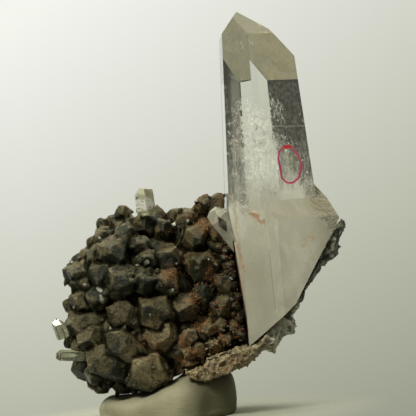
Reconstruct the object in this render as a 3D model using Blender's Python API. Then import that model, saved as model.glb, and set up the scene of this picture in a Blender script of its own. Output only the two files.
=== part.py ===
"""Clear quartz crystal on a matrix of stubby dark crystals, standing in a lump of display putty.

Frame: +Z up, +X to the right and +Y away from the viewer, origin at the middle of the putty's flat
underside. The tables are in millimetres, and MM turns them into the metres of the scene.
Run with: blender --background --python part.py
"""

import math
import random

import bmesh
import bpy
from mathutils import Matrix, Vector

MM = 0.001
GAP = 0.3  # air left between two pieces that touch
CUT_SNAP = 1e-8  # metres within which a cut takes an existing corner
SEED = 7

# Angles of natural quartz: six prism faces a sixth of a turn apart, end faces 51.8 degrees from level
SIXTH = 60.0
END_SLOPE = 51.8

# Main crystal, upper part: outline at the level of its rear shoulder
SHOULDER_Z = 82.3
LEFT_X, RIGHT_X = 19.6, 38.4
FRONT_EDGE = (26.7, -11.0)  # x and y of the vertical edge that faces the viewer
BACK_EDGE = (27.8, 7.8)
LEFT_TAPER, RIGHT_TAPER, FACE_TAPER = 2.4, 4.1, 3.6  # degrees
LEFT_AZIMUTH, BACK_RIGHT_AZIMUTH = 184.0, 57.5  # two faces are a little out of true, as on many crystals
STRAIGHT_FROM = (26.7, -12.98, 55.0)  # place on the front edge below which the front faces no longer widen
LOWER_LEFT = (18.3, 0.0, 49.0)  # place on the left side below which it draws in again
LOWER_LEFT_TAPER = -5.0
APEX = (24.6, -6.0, 98.9)
RIGHT_BEVEL = (31.95, -6.0, 94.3)  # where the right-hand end face meets the ridge
BEVEL_SLOPE = 49.5

# Main crystal, lower part: a stouter crystal grown parallel with it, cut off by the contact with the rock
STOUT_LEFT_X, STOUT_RIGHT_X = 21.2, 46.9
STOUT_FRONT_EDGE = (30.2, -15.3)
STOUT_BACK_EDGE = (29.6, 8.4)
STOUT_FRONT_LEFT_Z, STOUT_FRONT_RIGHT_Z = 50.0, 47.0  # levels where the front faces turn into end faces
STOUT_BACK_Z = 54.0
STOUT_SHOULDER = (41.6, 0.0, 53.8)
STOUT_FLANK = (44.1, 0.0, 50.0)
FLANK_SLOPE = 64.0
CONTACTS = (((33.2, 0.0, 26.5), 57.5), ((28.4, 0.0, 22.6), 39.0))  # point and slope of the two contact planes

# Dark cluster: rounded masses that together have the cluster's outline, as (centre), (half-widths)
LOBES = (
    ((-2.4, 2.6, 32.5), (19.8, 14.2, 18.2)),
    ((-9.0, 1.4, 20.4), (15.6, 13.2, 12.6)),
    ((11.0, 3.0, 43.6), (8.6, 10.2, 8.2)),
    ((9.0, 1.4, 20.0), (12.0, 12.2, 10.5)),
    ((13.0, 2.6, 32.0), (7.6, 11.0, 10.0)),
)
CORE_SHARE = 0.82  # size of the solid core against the mean surface that the crystals stand on
STAND = 0.5  # how far a crystal stands out of the mean surface, as a share of its width

# Crystals that show in front: x, z of the middle, width, then the lean of the point to the right, up and back
FRONT_STONES = (
    (-7.4, 52.2, 4.4, -0.3, 0.8, -0.5),
    (-10.4, 50.2, 4.2, -0.5, 0.7, -0.5),
    (-6.7, 50.0, 4.0, 0.1, 0.5, -0.85),
    (-12.6, 47.4, 4.6, -0.6, 0.6, -0.5),
    (-13.2, 50.0, 2.8, -0.5, 0.8, -0.4),
    (-7.2, 45.8, 6.4, -0.25, 0.45, -0.9),
    (-9.6, 42.2, 8.6, -0.2, 0.1, -1.0),
    (-14.7, 42.0, 5.6, -0.5, 0.5, -0.7),
    (-19.4, 37.4, 7.2, -0.7, 0.3, -0.6),
    (-13.9, 37.2, 7.0, -0.3, 0.1, -0.9),
    (-9.2, 34.8, 9.4, 0.1, 0.45, -0.85),
    (-1.4, 40.2, 5.2, 0.0, 0.4, -0.9),
    (3.6, 40.2, 6.0, 0.1, 0.4, -0.9),
    (3.0, 34.2, 6.6, 0.15, 0.0, -1.0),
    (-2.8, 34.8, 6.8, -0.05, 0.05, -1.0),
    (10.6, 37.6, 8.6, 0.2, 0.2, -0.95),
    (16.4, 38.4, 5.2, 0.3, 0.1, -0.9),
    (16.6, 32.6, 5.8, 0.2, -0.1, -0.95),
    (5.6, 50.6, 4.4, 0.1, 0.8, -0.5),
    (8.6, 49.4, 5.4, 0.2, 0.7, -0.6),
    (13.0, 53.0, 4.8, 0.1, 0.9, -0.3),
    (16.6, 53.8, 4.2, -0.1, 0.9, -0.3),
    (10.4, 45.0, 6.4, 0.1, 0.4, -0.9),
    (2.3, 47.8, 5.0, 0.1, 0.6, -0.7),
    (-1.7, 48.8, 6.6, 0.0, 0.2, -1.0),
    (-2.6, 43.6, 4.8, 0.0, 0.2, -0.95),
    (11.0, 31.2, 5.2, 0.1, 0.2, -1.0),
    (14.6, 26.8, 7.8, 0.2, 0.05, -0.98),
    (5.8, 27.2, 6.6, 0.0, 0.2, -1.0),
    (0.8, 22.4, 8.4, 0.05, 0.15, -1.0),
    (-1.9, 27.6, 8.6, -0.1, 0.1, -1.0),
    (-10.2, 27.6, 7.4, -0.25, 0.05, -1.0),
    (-11.0, 20.6, 8.4, -0.1, 0.5, -0.85),
    (-15.8, 17.0, 9.6, -0.4, -0.1, -0.9),
    (-5.4, 13.6, 11.0, 0.05, 0.35, -0.93),
    (1.6, 11.4, 6.8, 0.15, 0.0, -1.0),
    (-17.6, 12.4, 5.4, -0.6, -0.3, -0.7),
    (-16.6, 8.6, 5.4, -0.5, -0.6, -0.6),
    (-10.4, 7.6, 6.8, -0.1, -0.4, -0.9),
    (7.6, 21.0, 4.0, 0.1, 0.2, -1.0),
    (11.4, 21.4, 3.8, 0.2, 0.1, -1.0),
    (14.8, 22.2, 3.6, 0.2, 0.2, -1.0),
    (8.8, 17.4, 3.8, -0.1, 0.1, -1.0),
    (12.4, 18.0, 3.4, 0.1, 0.2, -1.0),
    (15.8, 18.6, 3.6, 0.3, 0.1, -1.0),
    (6.0, 16.6, 3.8, 0.0, -0.1, -1.0),
    (10.8, 14.4, 3.6, 0.1, -0.2, -1.0),
    (-19.6, 31.2, 6.6, -0.8, 0.1, -0.5),
    (-21.6, 24.8, 6.8, -0.85, 0.0, -0.5),
    (-22.8, 30.0, 4.6, -0.9, 0.1, -0.3),
    (-24.0, 24.0, 3.6, -0.8, 0.3, -0.3),
    (-23.4, 20.6, 3.8, -0.8, -0.1, -0.4),
    (-18.6, 21.0, 6.2, -0.6, 0.0, -0.8),
    (-16.0, 45.2, 3.8, -0.7, 0.6, -0.4),
    (-18.0, 42.2, 3.6, -0.8, 0.5, -0.3),
    (-15.4, 31.0, 6.4, -0.4, 0.0, -0.9),
    (-21.6, 18.4, 4.4, -0.9, -0.2, -0.3),
    (7.0, 12.6, 5.0, 0.1, -0.3, -1.0),
    (3.6, 8.8, 5.0, 0.1, -0.4, -0.9),
    (18.0, 21.0, 5.0, 0.3, 0.0, -0.95),
)
HIDDEN_STONES = 108  # crystals over the sides and back, laid out by a formula
HIDDEN_WIDTH = (5.6, 9.2)
FRONT_LIMIT = -3.5  # a hidden crystal stands behind this y

# Clear crystals that stand apart: tip, lean, width, length, the turn about its own length and what the tip lacks
TOP_CRYSTAL = ((-1.8, -5.4, 58.6), (-0.05, -0.16, 1.0), 4.9, 7.6, 24.0, 1.3)
SIDE_CRYSTAL = ((14.6, -7.2, 51.6), (-0.56, -0.10, 0.83), 5.4, 14.0, 16.0, 0.9)
RIM_CRYSTALS = (
    ("rim_crystal_upper", (-25.8, -5.0, 27.2), (-0.24, -0.16, 0.95), 3.0, 5.4, 20.0, 0.4),
    ("rim_crystal_lower", (-26.8, -6.4, 18.0), (-0.98, -0.16, 0.10), 2.6, 8.0, 0.0, 0.5),
)

# Host rock: slabs along the underside, as x, z of the middle, half-width across, half-length along, half-depth,
# and the slope of the slab in degrees
ROCK_SLABS = (
    (44.8, 42.2, 2.0, 3.6, 6.0, 60.0),
    (42.3, 37.9, 2.3, 3.4, 7.4, 50.0),
    (39.3, 34.4, 1.2, 3.8, 8.8, 55.0),
    (36.7, 30.8, 1.0, 3.8, 9.8, 60.0),
    (34.4, 26.9, 1.0, 5.0, 10.4, 57.0),
    (30.0, 21.0, 2.3, 2.8, 11.0, 44.0),
    (27.0, 18.6, 2.4, 3.8, 11.5, 38.0),
    (23.4, 16.6, 2.2, 4.2, 12.0, 28.0),
    (19.6, 14.5, 2.5, 4.8, 12.4, 20.0),
    (15.4, 12.9, 2.6, 5.2, 12.2, 18.0),
    (10.8, 11.2, 2.6, 5.0, 11.4, 14.0),
)
CLIPPED_SLABS = (0, 0, 0, 0, 0, 1, 1, 1)  # the contact plane that each of the first slabs stays outside
SLAB_GAP = 0.36  # how far outside it stays
RUBBLE = (
    (23.4, 17.0, 3.0),
    (20.6, 16.4, 2.8),
    (17.4, 15.4, 3.2),
    (13.6, 13.8, 3.4),
    (10.0, 12.6, 3.0),
    (7.6, 11.0, 2.8),
    (27.4, 18.8, 2.4),
    (12.6, 11.4, 2.6),
)
RUBBLE_FRONT = -12.4

# Putty: height of its upper edge along its length, from the left end to the right one
PUTTY_HALF_LENGTH, PUTTY_HALF_DEPTH = 17.6, 14.0
PUTTY_CREST = (
    (-17.6, 5.2),
    (-14.6, 7.2),
    (-10.4, 6.2),
    (-5.0, 7.2),
    (1.0, 8.8),
    (6.0, 11.0),
    (12.0, 13.0),
    (17.6, 16.0),
)
PUTTY_WAIST_Z = 3.7  # level of its widest outline
PUTTY_BELOW = 7.2  # how far the rounded lump would reach under that level
PUTTY_ROUNDNESS = 0.62


def clear_scene():
    for old in list(bpy.data.objects):
        bpy.data.objects.remove(old, do_unlink=True)


def new_collection(name, hidden=False):
    collection = bpy.data.collections.new(name)
    bpy.context.scene.collection.children.link(collection)
    collection.hide_render = hidden
    return collection


def new_material(name, colour, roughness, transmission=0.0):
    material = bpy.data.materials.new(name)
    material.use_nodes = True
    shader = material.node_tree.nodes["Principled BSDF"]
    shader.inputs["Base Color"].default_value = (*colour, 1.0)
    shader.inputs["Roughness"].default_value = roughness
    shader.inputs["Metallic"].default_value = 0.0
    shader.inputs["Transmission Weight"].default_value = transmission
    shader.inputs["IOR"].default_value = 1.544
    return material


def new_object(name, bm, collection, material=None):
    """Turns a bmesh in millimetres into an object in metres."""
    bmesh.ops.scale(bm, vec=(MM, MM, MM), verts=bm.verts)
    bmesh.ops.recalc_face_normals(bm, faces=bm.faces)
    mesh = bpy.data.meshes.new(name)
    bm.to_mesh(mesh)
    bm.free()
    made = bpy.data.objects.new(name, mesh)
    collection.objects.link(made)
    if material:
        mesh.materials.append(material)
    else:
        made.hide_render = True
        made.display_type = "WIRE"
    return made


def level_normal(azimuth, rise=0.0):
    """Outward direction at an azimuth, 0 to the right and 90 to the back, tipped up by rise degrees."""
    a, r = math.radians(azimuth), math.radians(rise)
    return Vector((math.cos(a) * math.cos(r), math.sin(a) * math.cos(r), math.sin(r)))


def end_normal(azimuth, slope=END_SLOPE):
    """Outward direction of an end face that slopes down towards an azimuth."""
    return level_normal(azimuth, 90.0 - slope)


def sliced_block(middle, reach, cuts, grow=0.0):
    """A cube cut flat along each (point, outward normal), every cut moved outwards by grow."""
    bm = bmesh.new()
    bmesh.ops.create_cube(bm, size=2 * (reach + grow), matrix=Matrix.Translation(middle))
    for point, normal in cuts:
        away = normal.normalized()
        done = bmesh.ops.bisect_plane(
            bm,
            geom=bm.verts[:] + bm.edges[:] + bm.faces[:],
            dist=CUT_SNAP,
            plane_co=Vector(point) + grow * away,
            plane_no=away,
            clear_outer=True,
        )
        rim = [item for item in done["geom_cut"] if isinstance(item, bmesh.types.BMEdge)]
        if rim:
            bmesh.ops.edgeloop_fill(bm, edges=rim)
    return bm


def tall_cuts():
    """Faces of the main crystal's upper part."""
    front = (*FRONT_EDGE, SHOULDER_Z)
    back = (*BACK_EDGE, SHOULDER_Z)
    return [
        ((LEFT_X, 0, SHOULDER_Z), level_normal(LEFT_AZIMUTH, LEFT_TAPER)),
        ((RIGHT_X, 0, SHOULDER_Z), level_normal(0, RIGHT_TAPER)),
        (front, level_normal(-60, FACE_TAPER)),
        (front, level_normal(-120, FACE_TAPER)),
        (back, level_normal(BACK_RIGHT_AZIMUTH, FACE_TAPER)),
        (back, level_normal(120, FACE_TAPER)),
        (STRAIGHT_FROM, level_normal(-60)),
        (STRAIGHT_FROM, level_normal(-120)),
        (LOWER_LEFT, level_normal(LEFT_AZIMUTH, LOWER_LEFT_TAPER)),
        (APEX, end_normal(180)),
        (APEX, end_normal(60)),
        (APEX, end_normal(-60)),
        (RIGHT_BEVEL, end_normal(0, BEVEL_SLOPE)),
        *contact_cuts(),
    ]


def stout_cuts():
    """Faces of the main crystal's lower part."""
    front, back = STOUT_FRONT_EDGE, STOUT_BACK_EDGE
    return [
        ((STOUT_LEFT_X, 0, 0), level_normal(180)),
        ((STOUT_RIGHT_X, 0, 0), level_normal(0)),
        ((*front, 0), level_normal(-60)),
        ((*front, 0), level_normal(-120)),
        ((*back, 0), level_normal(60)),
        ((*back, 0), level_normal(120)),
        ((*front, STOUT_FRONT_RIGHT_Z), end_normal(-60)),
        ((*front, STOUT_FRONT_LEFT_Z), end_normal(-120)),
        ((*back, STOUT_BACK_Z), end_normal(60)),
        ((*back, STOUT_BACK_Z), end_normal(120)),
        (STOUT_SHOULDER, end_normal(0)),
        (STOUT_FLANK, end_normal(0, FLANK_SLOPE)),
        *contact_cuts(),
    ]


def contact_cuts():
    """The two sloping planes where the main crystal meets the rock."""
    return [
        (point, Vector((math.sin(math.radians(slope)), 0.0, -math.cos(math.radians(slope)))))
        for point, slope in CONTACTS
    ]


def crystal_cuts(tip, lean, width, length, turn, blunt, rng):
    """Six prism faces, six end faces and a flat foot of one small crystal. Every other end face is small."""
    tip, lean = Vector(tip), Vector(lean).normalized()
    stand = lean.to_track_quat("Z", "Y").to_matrix()
    cuts = [(tip - lean * length, -lean)]
    for side in range(6):
        azimuth = side * SIXTH + turn
        reach = width / 2 * rng.uniform(0.80, 1.10)
        outward = stand @ level_normal(azimuth)
        cuts.append((tip + outward * reach, outward))
        rise = 0.0 if side % 2 else width * rng.uniform(0.02, 0.4)
        cuts.append((tip + lean * rise, stand @ end_normal(azimuth)))
    if blunt:
        askew = stand @ level_normal(turn, 78.0)
        cuts.append((tip - lean * blunt, askew))
    return cuts


def crystal(tip, lean, width, length, turn, blunt, seed, grow=0.0):
    """One small crystal as a bmesh. The same seed gives the same crystal, whatever grow is."""
    cuts = crystal_cuts(tip, lean, width, length, turn, blunt, random.Random(seed))
    return sliced_block(Vector(tip), length + width, cuts, grow)


def mean_surface_y(x, z):
    """How far forward the cluster's mean surface comes at a place in the front view."""
    nearest = 0.0
    for (cx, cy, cz), (ax, ay, az) in LOBES:
        left = 1.0 - ((x - cx) / ax) ** 2 - ((z - cz) / az) ** 2
        if left > 0:
            nearest = min(nearest, cy - ay * math.sqrt(left))
    return nearest


def inside_a_lobe(point, but):
    for number, (centre, half) in enumerate(LOBES):
        offset = [(p - c) / h for p, c, h in zip(point, centre, half)]
        if number != but and sum(o * o for o in offset) < 0.9:
            return True
    return False


def stone_list(rng):
    """(tip, lean, width, length) of every dark crystal."""
    stones = []
    for x, z, width, right, up, back in FRONT_STONES:
        sway = Vector(rng.uniform(-0.5, 0.5) for _ in range(3))
        lean = (Vector((right, back, up)).normalized() + sway).normalized()
        foot = Vector((x, mean_surface_y(x, z) + 0.8, z))
        stones.append((foot + lean * width * STAND, lean, width, width + 7.0))
    for number in range(HIDDEN_STONES):
        lobe = (0, 1, 0, 2, 0, 3)[number % 6]
        centre, half = LOBES[lobe]
        share = 1 - 2 * (number + 0.5) / HIDDEN_STONES
        turn = number * math.pi * (3 - math.sqrt(5))
        ring = math.sqrt(1 - share * share)
        away = Vector((ring * math.cos(turn), ring * math.sin(turn), share))
        spot = Vector(c + h * a for c, h, a in zip(centre, half, away))
        width = rng.uniform(*HIDDEN_WIDTH)
        if spot.y < FRONT_LIMIT or inside_a_lobe(spot, lobe):
            continue
        sway = Vector(rng.uniform(-0.3, 0.3) for _ in range(3))
        lean = (Vector(a / h for a, h in zip(away, half)).normalized() + sway).normalized()
        stones.append((spot + lean * width * (STAND - 0.12), lean, width, width + 7.0))
    return stones


def lump(middle, half, subdivisions, roughness, rng):
    """A rounded mass, its corners moved in and out at random."""
    bm = bmesh.new()
    bmesh.ops.create_icosphere(bm, subdivisions=subdivisions, radius=1.0)
    for corner in bm.verts:
        stretch = 1.0 + rng.uniform(-roughness, roughness)
        corner.co = Vector(m + h * c * stretch for m, h, c in zip(middle, half, corner.co))
    return bm


def slab_cuts(x, z, half_width, half_length, half_depth, slope, rng):
    """Faces of one rock slab: a long split block with broken corners."""
    a = math.radians(slope)
    along = Vector((math.cos(a), 0.0, math.sin(a)))
    across = Vector((math.sin(a), 0.0, -math.cos(a)))
    deep = Vector((0.0, 1.0, 0.0))
    middle = Vector((x, -0.4, z))
    cuts = []
    for way, reach in ((along, half_length), (across, half_width), (deep, half_depth)):
        for sign in (1, -1):
            skew = Vector(rng.uniform(-0.13, 0.13) for _ in range(3))
            cuts.append((middle + sign * way * reach, (sign * way + skew).normalized()))
    for one in (1, -1):
        for two in (1, -1):
            corner = (along * one * half_width / half_length + across + deep * two * 0.35).normalized()
            reach = half_width * 1.0 + half_depth * 0.22
            cuts.append((middle + corner * reach * rng.uniform(0.85, 1.1), corner))
    return middle, cuts


def rock_pieces(grow):
    """Every slab and lump of rubble of the host rock, as bmeshes."""
    rng = random.Random(SEED + 1)
    made = []
    for number, slab in enumerate(ROCK_SLABS):
        middle, cuts = slab_cuts(*slab, rng)
        if number < len(CLIPPED_SLABS):
            point, away = contact_cuts()[CLIPPED_SLABS[number]]
            cuts.append((Vector(point) + away * SLAB_GAP, -away))
        made.append(sliced_block(middle, 30.0, cuts, grow))
    for x, z, width in RUBBLE:
        lean = Vector((rng.uniform(-0.4, 0.4), -1.0, rng.uniform(-0.2, 0.6)))
        tip = (x, RUBBLE_FRONT - 0.8 + rng.uniform(-0.5, 0.5), z)
        made.append(crystal(tip, lean, width, 9.0, rng.uniform(0, 60), 0.0, rng.random(), grow))
    return made


def crest_height(x):
    """Height of the putty's upper edge at x, smoothly between the listed places."""
    for (x0, z0), (x1, z1) in zip(PUTTY_CREST, PUTTY_CREST[1:]):
        if x <= x1:
            share = max(0.0, (x - x0) / (x1 - x0))
            return z0 + (z1 - z0) * share * share * (3 - 2 * share)
    return PUTTY_CREST[-1][1]


def putty_lump(grow=0.0):
    """The putty: a squashed ball with a wavy top, cut flat where it stands."""
    bm = bmesh.new()
    bmesh.ops.create_uvsphere(bm, u_segments=30, v_segments=16, radius=1.0)
    for corner in bm.verts:
        sx, sy, sz = corner.co
        plan = math.hypot(sx, sy)
        if plan > 0:
            squared = plan**PUTTY_ROUNDNESS / plan
            sx, sy = sx * squared, sy * squared
        x = sx * (PUTTY_HALF_LENGTH + grow)
        deep = PUTTY_HALF_DEPTH - 1.8 * max(0.0, x / PUTTY_HALF_LENGTH) + 0.5 * math.sin(0.45 * x)
        y = sy * (deep + grow)
        top = crest_height(x) - PUTTY_WAIST_Z
        bulge = abs(sz) ** 0.72
        z = PUTTY_WAIST_Z + bulge * (top + grow if sz > 0 else -PUTTY_BELOW - grow)
        corner.co = (x, y, z)
    if not grow:
        done = bmesh.ops.bisect_plane(
            bm,
            geom=bm.verts[:] + bm.edges[:] + bm.faces[:],
            dist=CUT_SNAP,
            plane_co=(0, 0, 0),
            plane_no=(0, 0, -1),
            clear_outer=True,
        )
        rim = [item for item in done["geom_cut"] if isinstance(item, bmesh.types.BMEdge)]
        bmesh.ops.edgeloop_fill(bm, edges=rim)
    return bm


def boolean(target, operation, other):
    """Adds an exact Boolean with an object or with a whole collection."""
    modifier = target.modifiers.new(operation.lower(), "BOOLEAN")
    modifier.operation = operation
    modifier.solver = "EXACT"
    if isinstance(other, bpy.types.Collection):
        modifier.operand_type = "COLLECTION"
        modifier.collection = other
    else:
        modifier.object = other


def keep_largest_body(target):
    """Applies the Booleans and drops the splinters that they cut loose."""
    bpy.context.view_layer.update()
    graph = bpy.context.evaluated_depsgraph_get()
    mesh = bpy.data.meshes.new_from_object(target.evaluated_get(graph))
    target.modifiers.clear()
    target.data = mesh
    bm = bmesh.new()
    bm.from_mesh(mesh)
    left, bodies = set(bm.verts), []
    while left:
        body, edge = set(), [left.pop()]
        while edge:
            corner = edge.pop()
            body.add(corner)
            near = {e.other_vert(corner) for e in corner.link_edges} & left
            left -= near
            edge.extend(near)
        bodies.append(body)
    largest = max(bodies, key=len)
    spare = [corner for body in bodies if body is not largest for corner in body]
    bmesh.ops.delete(bm, geom=spare, context="VERTS")
    bm.to_mesh(mesh)
    bm.free()


def make_main_crystal(parts, room, material):
    upper = sliced_block(Vector((29, -2, 60)), 60.0, tall_cuts())
    lower = sliced_block(Vector((32, -2, 40)), 40.0, stout_cuts())
    main = new_object("main_crystal", upper, parts, material)
    joined = new_object("stout_part", lower, room)
    boolean(main, "UNION", joined)
    keep_largest_body(main)
    return main


def make_clear_crystal(name, spec, seed, parts, material):
    return new_object(name, crystal(*spec, seed), parts, material)


def grown_copies(seeded, main_room, clear_room):
    """Cutters a gap larger than the clear crystals, for the pieces that they stand in."""
    new_object("room_tall", sliced_block(Vector((29, -2, 60)), 60.0, tall_cuts(), GAP), main_room)
    new_object("room_stout", sliced_block(Vector((32, -2, 40)), 40.0, stout_cuts(), GAP), main_room)
    for name, spec, seed in seeded:
        new_object("room_" + name, crystal(*spec, seed, GAP), clear_room)


def make_host_rock(parts, cutters, material):
    """The rock along the underside, cut to the foot of the main crystal and to the putty."""
    pieces = rock_pieces(0.0)
    rock = new_object("host_rock", pieces[0], parts, material)
    for number, piece in enumerate(pieces[1:]):
        new_object(f"rock_{number}", piece, cutters["rock"])
    for number, piece in enumerate(rock_pieces(GAP)):
        new_object(f"room_rock_{number}", piece, cutters["rock_room"])
    boolean(rock, "UNION", cutters["rock"])
    boolean(rock, "DIFFERENCE", cutters["main_room"])
    boolean(rock, "DIFFERENCE", cutters["putty_room"])
    keep_largest_body(rock)
    return rock


def make_cluster(parts, cutters, material):
    """The dark crystals grown together on a common core, in one solid."""
    rng = random.Random(SEED)
    cores = [
        lump(centre, [h * CORE_SHARE for h in half], 2, 0.06, rng) for centre, half in LOBES
    ]
    cluster = new_object("dark_cluster", cores[0], parts, material)
    for number, core in enumerate(cores[1:]):
        new_object(f"core_{number}", core, cutters["stones"])
    for number, (tip, lean, width, length) in enumerate(stone_list(rng)):
        blunt = width * rng.uniform(0.06, 0.3) if number % 4 else 0.0
        piece = crystal(tip, lean, width, length, rng.uniform(0, 60), blunt, SEED + number)
        new_object(f"stone_{number}", piece, cutters["stones"])
    boolean(cluster, "UNION", cutters["stones"])
    for room in ("main_room", "clear_room", "rock_room", "putty_room"):
        boolean(cluster, "DIFFERENCE", cutters[room])
    keep_largest_body(cluster)
    return cluster


def main():
    clear_scene()
    parts = new_collection("quartz_on_matrix")
    names = ("joined", "main_room", "clear_room", "rock", "rock_room", "putty_room", "stones")
    cutters = {name: new_collection(name, hidden=True) for name in names}
    clear = new_material("clear_quartz", (0.88, 0.88, 0.82), 0.04, transmission=0.9)
    dark = new_material("dark_quartz", (0.06, 0.055, 0.035), 0.3)
    rock = new_material("host_rock", (0.13, 0.13, 0.10), 0.75)
    soft = new_material("putty", (0.33, 0.32, 0.25), 0.85)

    seeded = [("top_crystal", TOP_CRYSTAL, SEED + 201), ("side_crystal", SIDE_CRYSTAL, SEED + 202)]
    seeded += [(name, spec, SEED + 210 + n) for n, (name, *spec) in enumerate(RIM_CRYSTALS)]
    make_main_crystal(parts, cutters["joined"], clear)
    grown_copies(seeded, cutters["main_room"], cutters["clear_room"])
    for name, spec, seed in seeded:
        made = make_clear_crystal(name, spec, seed, parts, clear)
        boolean(made, "DIFFERENCE", cutters["main_room"])
        keep_largest_body(made)
    new_object("putty", putty_lump(), parts, soft)
    new_object("room_putty", putty_lump(GAP), cutters["putty_room"])
    make_host_rock(parts, cutters, rock)
    make_cluster(parts, cutters, dark)


main()
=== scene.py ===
"""Looks of the quartz specimen: crystal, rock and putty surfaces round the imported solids.

Lengths in the tables are millimetres, X to the right, Z up, as in the solids; MM turns them into metres.
"""

import math
import random

import bmesh
import bpy
import numpy as np
from mathutils import Matrix, Vector, noise
from mathutils.bvhtree import BVHTree


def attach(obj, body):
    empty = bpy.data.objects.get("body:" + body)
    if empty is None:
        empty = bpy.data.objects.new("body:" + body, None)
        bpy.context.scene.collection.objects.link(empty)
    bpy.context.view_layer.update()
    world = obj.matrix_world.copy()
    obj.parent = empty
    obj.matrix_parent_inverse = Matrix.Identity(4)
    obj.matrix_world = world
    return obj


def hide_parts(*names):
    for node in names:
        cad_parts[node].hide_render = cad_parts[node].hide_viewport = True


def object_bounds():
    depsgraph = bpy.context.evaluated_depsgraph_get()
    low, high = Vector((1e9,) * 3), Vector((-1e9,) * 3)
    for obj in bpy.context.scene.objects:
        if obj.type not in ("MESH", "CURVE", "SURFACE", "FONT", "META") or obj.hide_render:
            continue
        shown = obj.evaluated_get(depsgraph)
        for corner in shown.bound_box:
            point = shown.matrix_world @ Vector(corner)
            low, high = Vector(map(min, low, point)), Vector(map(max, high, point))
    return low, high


MM = 0.001
MM_PER_M = 1000.0
SEED = 11
QUARTZ_IOR = 1.544

# Camera: where it looks, how far off it stands, half the height of its picture there, and its roll
AIM = (13.8, 0.0, 51.25)
CAMERA_AWAY = 420.0
HALF_PICTURE = 52.0
CAMERA_ROLL = -4.5

# Lines on the main crystal's front, as x and z from end to end. The pen ring is closed, and its line reaches
# RING_LINE to both sides.
PEN_RING = (
    (32.2, 63.6),
    (33.6, 64.9),
    (34.9, 64.9),
    (36.1, 63.9),
    (37.4, 61.2),
    (37.6, 59.4),
    (36.4, 56.7),
    (35.0, 55.8),
    (33.6, 55.9),
    (32.3, 57.4),
    (32.3, 60.1),
    (31.9, 61.8),
    (32.2, 63.6),
)
RING_LINE = 0.26
RING_BLOB = ((33.9, 64.6), (34.9, 64.7))
ARCH_RIDGE = (
    (20.2, 45.1),
    (21.4, 48.3),
    (22.9, 49.3),
    (25.0, 49.2),
    (26.6, 47.4),
    (27.4, 44.6),
    (27.8, 40.4),
)
ARCH_RUST = ((24.1, 49.3), (25.4, 48.4), (26.6, 46.9))
LEFT_RUST = ((20.3, 41.4), (21.0, 37.9), (21.4, 35.2))
SPOTTED_RUST = ((36.3, 40.2), (38.7, 42.7))
EDGE_STAIN = ((20.2, 55.0), (21.0, 19.0))
LONG_CRACK = ((27.3, 47.2), (28.0, 37.5), (28.3, 25.4))
LEVEL_SCRATCH = ((31.4, 69.9), (39.4, 69.6))
SHOULDER_SCAR = ((39.8, 53.6), (44.4, 45.2))

# The tip's end faces in the front view, left and right of the ridge between them: the slope of their lower
# edge, its height at x = 0 and the level that it doesn't pass below
TIP_EDGES = ((-1.88, 125.9, 81.6), (-1.33, 122.2, 81.3))
TIP_RIDGE = (26.65, 26.85)

# Heights between which the sloping faces start to be the tip's and end to be the lower part's
TIP_ABOVE = (79.0, 80.0)
LEDGE_BELOW = (60.0, 59.0)

# The main crystal's left side beside the cluster: its x at a height, and how far it leans left for each
# millimetre up
SIDE_X = 18.3
SIDE_Z = 49.0
SIDE_LEAN = 0.087

# Colours of the main crystal. A pair holds the two ends of a blend: dim and bright, left and right, low and
# high, line and blob.
CLEAR_TONE = (0.99, 0.995, 0.945)
MILK_TONES = ((0.50, 0.495, 0.405), (0.63, 0.625, 0.52))
SHADED_MILK = (0.33, 0.32, 0.25)
CLOUDY_MILK = (0.36, 0.355, 0.275)
# The film's and the gilt's right-hand tones are painted light, for faces that the key light reaches less
FILM_AND_PAINTED_LIGHT_TONES = ((0.60, 0.59, 0.45), (0.92, 0.90, 0.68))
CLOUDY_FILM = (0.38, 0.39, 0.32)
GILT_AND_PAINTED_LIGHT_TONES = ((0.62, 0.50, 0.24), (1.0, 0.78, 0.34))
REAR_FROST = (0.40, 0.39, 0.30)
LEDGE_PAINTED_SHADE = (0.37, 0.36, 0.275)
VEIL_TONES = ((0.40, 0.36, 0.22), (0.33, 0.46, 0.22))
SCAR_TONE = (0.33, 0.28, 0.17)
RIDGE_TONE = (0.80, 0.78, 0.66)
RUST_TONES = ((0.36, 0.155, 0.042), (0.52, 0.27, 0.10))
INK_TONES = ((0.74, 0.055, 0.20), (0.86, 0.03, 0.02))
LEFT_SIDE_DARK_TONES = ((0.020, 0.014, 0.008), (0.17, 0.085, 0.038))

# Direction that the milky front faces are shaded towards, because light spreads in them
SOFT_LEAN = (-0.10, -0.95, 0.28)

# The side crystal's dark window in the front view, painted shade for the dark seen through it: its middle,
# its half width and half height, how soft its edges are, and how much it shears; and the pale gleam on the
# top crystal, a painted reflection
WINDOW_MIDDLE = (17.05, 47.05)
WINDOW_HALF = (1.05, 1.35)
WINDOW_SOFT = 0.15
WINDOW_SHEAR = 0.8
TOP_PAINTED_REFLECTION = ((-3.2, 53.2), (-0.9, 53.4))

# Painted highlights: small glints on facets among the dark crystals' fronts
GLINTS = (
    ((-18.2, 34.9), (-17.1, 34.6)),
    ((-14.6, 33.9), (-13.9, 33.1)),
    ((-14.0, 31.9), (-13.7, 30.4)),
)

# Rust-coloured patches on the cluster's front, as x, z and radius
RUST_PATCHES = (
    (3.4, 36.2, 2.4),
    (8.6, 28.5, 2.2),
    (9.3, 19.6, 4.2),
    (12.6, 49.0, 4.0),
    (-2.9, 19.0, 2.4),
    (4.2, 15.6, 3.0),
    (13.4, 36.0, 2.6),
)

# Wider patches on the cluster's front, as middle and reach: crusty beside the main crystal's foot, and tan
# left of it
CRUSTY_PATCH = ((12.5, 17.0), (9.0, 8.0))
TAN_PATCH = ((-1.0, 17.0), (9.0, 7.5))

# Size of the small faces that the rough skins are made of
CLUSTER_FACES = 0.36
ROCK_FACES = 0.34
PUTTY_FACES = 0.6

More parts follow.
